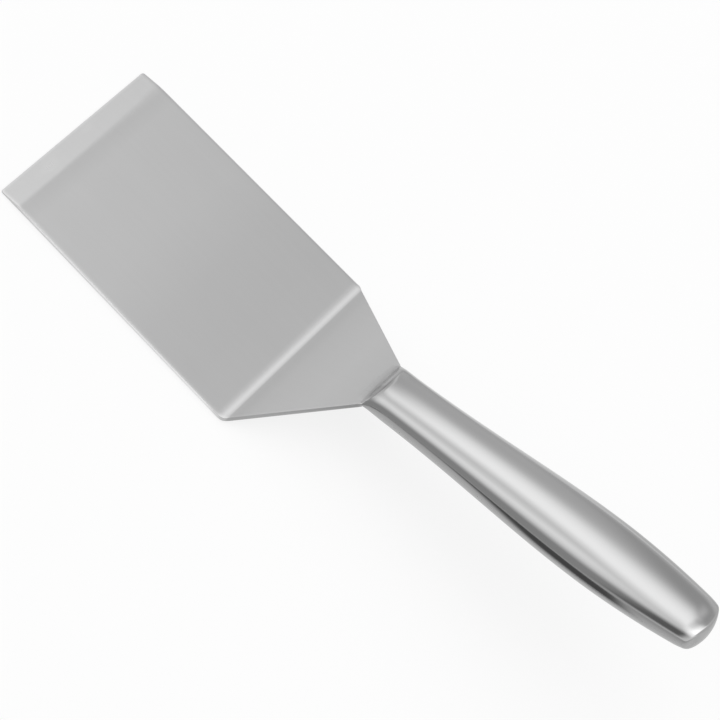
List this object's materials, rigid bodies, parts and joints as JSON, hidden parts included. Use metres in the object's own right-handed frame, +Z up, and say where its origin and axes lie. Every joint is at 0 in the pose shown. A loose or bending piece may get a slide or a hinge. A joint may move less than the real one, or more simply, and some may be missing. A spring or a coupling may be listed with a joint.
{
  "type": "grill spatula",
  "caption": "All-steel offset grill spatula: flat bevelled blade with a bent, tapering shoulder welded into a hollow oval handle with a domed butt.",
  "frame": {"origin": "middle of the footprint of the whole tool, on the plane of the blade's underside", "axes": "+X from the blade's front edge towards the butt of the handle, +Y to the right of the person holding it, +Z up"},
  "size_m": [0.2566, 0.0762, 0.0619],
  "materials": {
    "blade_steel": "fine brushed stainless sheet",
    "handle_steel": "satin polished stainless",
    "weld_steel": "weld metal ground flush and brushed"
  },
  "bodies": {
    "root": {"blade": "blade_steel", "handle_upper_shell": "handle_steel", "handle_lower_shell": "handle_steel", "seam_weld_left": "weld_steel", "seam_weld_right": "weld_steel", "neck_weld_upper": "weld_steel", "neck_weld_lower": "weld_steel"}
  },
  "joints": []
}
